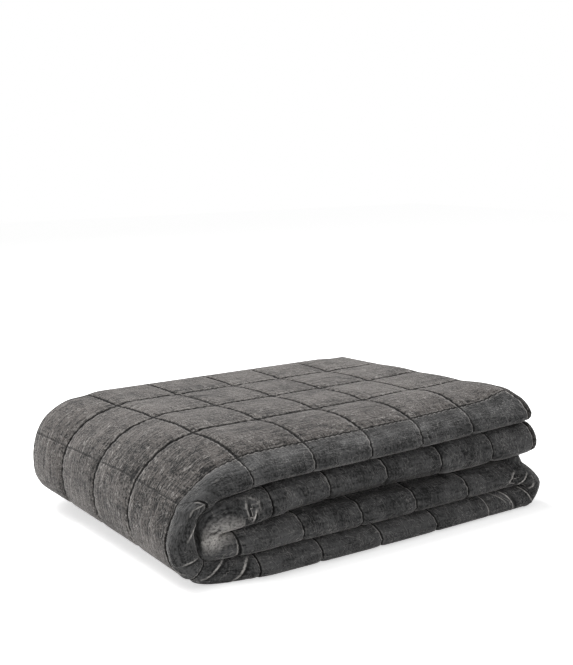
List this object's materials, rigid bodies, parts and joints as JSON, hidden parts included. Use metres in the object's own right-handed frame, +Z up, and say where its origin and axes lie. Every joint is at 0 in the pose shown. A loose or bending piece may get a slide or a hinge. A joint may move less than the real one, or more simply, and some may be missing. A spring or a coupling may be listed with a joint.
{
  "type": "folded bedspread",
  "caption": "Quilted velvet bedspread in plain squares with a bound edge, folded into a flat stack of thick rounded layers.",
  "frame": {"origin": "middle of the base, on the surface it lies on", "axes": "+Z up; the round folded edges of the layers face -Y; the wrap that joins the top and bottom layers is at -X; the free ends are at +X"},
  "size_m": [0.6364, 0.499, 0.159],
  "materials": {
    "velvet": "stonewashed cotton velvet, charcoal grey, quilted",
    "binding_velvet": "self-fabric binding, charcoal grey"
  },
  "bodies": {
    "root": {"quilted_panel": "velvet", "edge_binding": "binding_velvet"}
  },
  "joints": []
}
